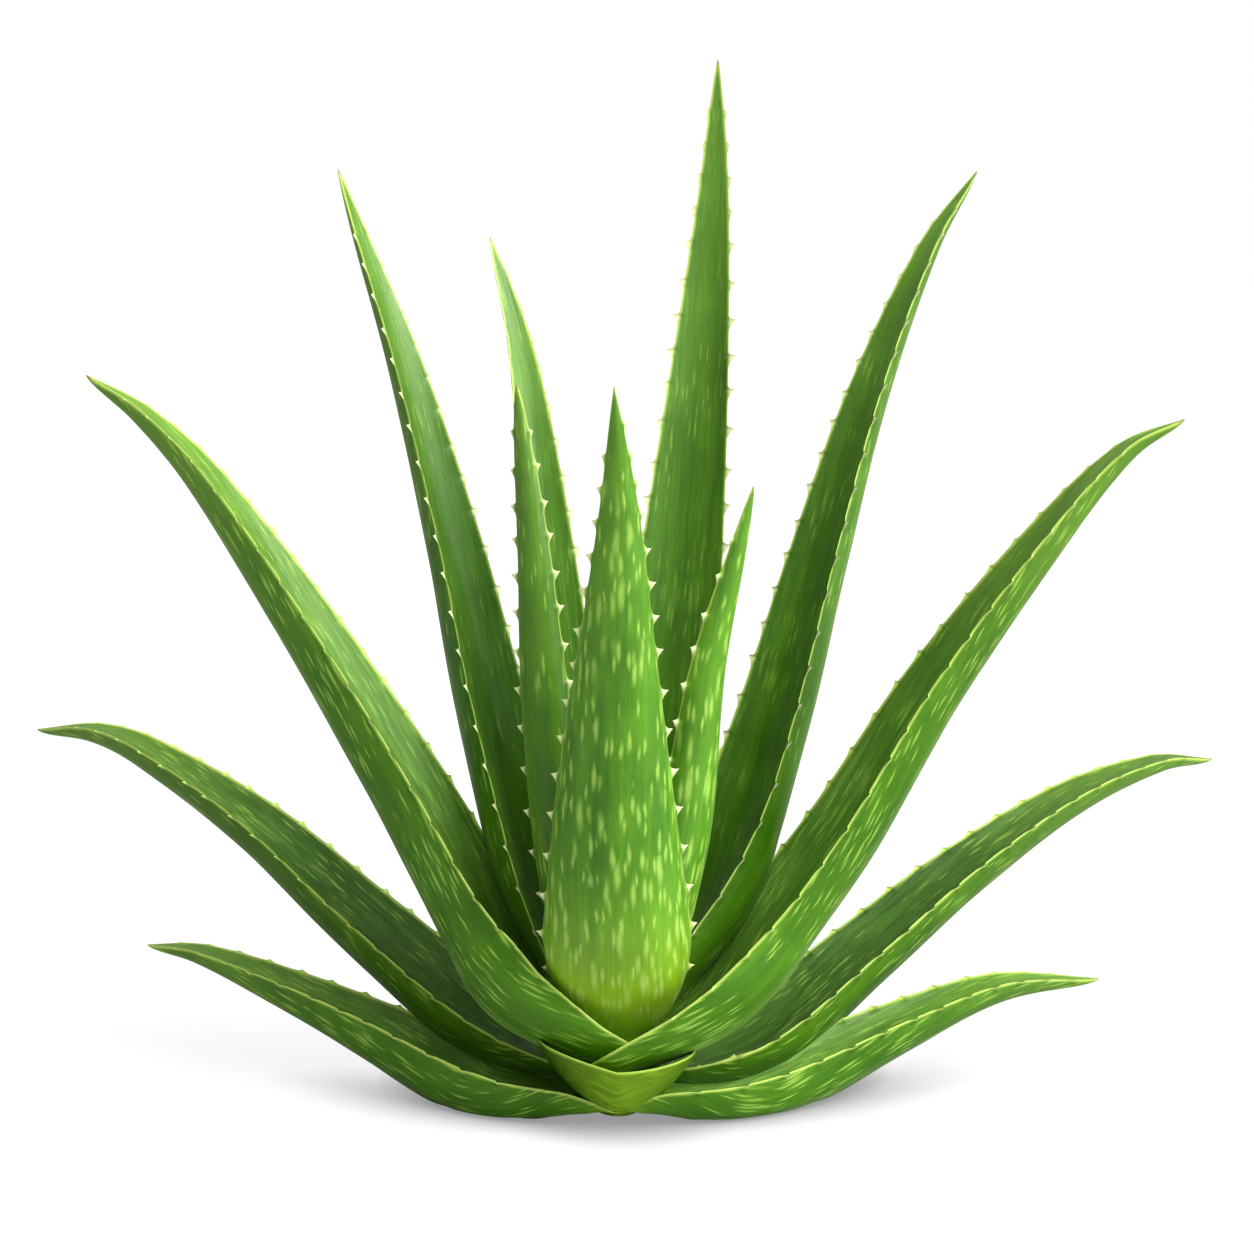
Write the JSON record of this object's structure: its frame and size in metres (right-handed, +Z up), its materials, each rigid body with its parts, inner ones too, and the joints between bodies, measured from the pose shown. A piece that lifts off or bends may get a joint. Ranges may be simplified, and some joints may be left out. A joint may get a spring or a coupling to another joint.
{
  "type": "aloe plant without a pot",
  "caption": "Rosette of thick tapering toothed leaves with a hollow inner face, leaving a short cut stem clasped by a leaf sheath. It is drawn upright, but set free on a flat floor it tips back onto its rear side.",
  "frame": {"origin": "on the floor, under the middle of the plant's bounding box", "axes": "+Z up; the front leaf faces -Y; +X to the right of the plant as seen from its front"},
  "size_m": [0.602, 0.32, 0.479],
  "materials": {
    "fresh_green_leaf": "satin",
    "mid_green_leaf": "satin",
    "deep_green_leaf": "satin",
    "pale_sheath": "satin",
    "cut_stem": "matte"
  },
  "bodies": {
    "root": {"lowest_right_leaf": "mid_green_leaf", "lowest_left_leaf": "mid_green_leaf", "right_wrapping_leaf": "mid_green_leaf", "left_wrapping_leaf": "mid_green_leaf", "front_leaf": "fresh_green_leaf", "lower_right_leaf": "deep_green_leaf", "lower_left_leaf": "deep_green_leaf", "inner_right_leaf": "fresh_green_leaf", "inner_left_leaf": "mid_green_leaf", "upper_right_leaf": "mid_green_leaf", "upper_left_leaf": "mid_green_leaf", "tall_back_leaf": "mid_green_leaf", "back_left_leaf": "mid_green_leaf", "rear_low_leaf": "deep_green_leaf", "rear_left_leaf": "deep_green_leaf", "rear_right_leaf": "deep_green_leaf", "heart_leaf": "fresh_green_leaf", "clasping_sheath": "pale_sheath", "cut_stem": "cut_stem"}
  },
  "joints": []
}
